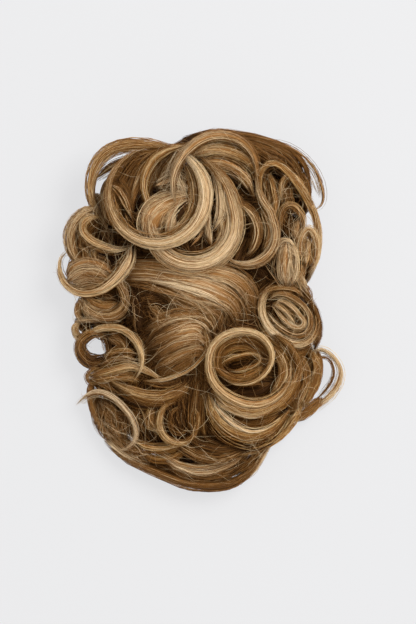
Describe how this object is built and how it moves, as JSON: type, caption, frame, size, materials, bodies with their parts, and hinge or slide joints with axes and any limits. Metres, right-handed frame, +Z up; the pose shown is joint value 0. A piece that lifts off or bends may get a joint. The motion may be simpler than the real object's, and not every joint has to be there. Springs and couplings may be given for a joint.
{
  "type": "clip-in hairpiece",
  "caption": "Clip-in hairpiece of dark-blonde roller-set curls over a domed net base with comb clips, lying on its base.",
  "frame": {"origin": "on the table under the middle of the hairpiece", "axes": "+Y along the length, towards the crown curls, and +Z up"},
  "size_m": [0.1892, 0.2446, 0.0634],
  "materials": {
    "hair": "silky dark-blonde hair fibre with pale and brown strands",
    "net": "matt brown hair net",
    "clip": "satin brown lacquer"
  },
  "bodies": {
    "root": {"cap_base": "net", "clip_top": "clip", "clip_bottom": "clip", "crown_curls": "hair", "barrel_curl": "hair", "centre_swirl": "hair", "right_spiral": "hair", "upper_left_curls": "hair", "upper_right_sweep": "hair", "right_ringlets": "hair", "left_ringlets": "hair", "lower_left_curls": "hair", "nape_sweep": "hair"}
  },
  "joints": []
}
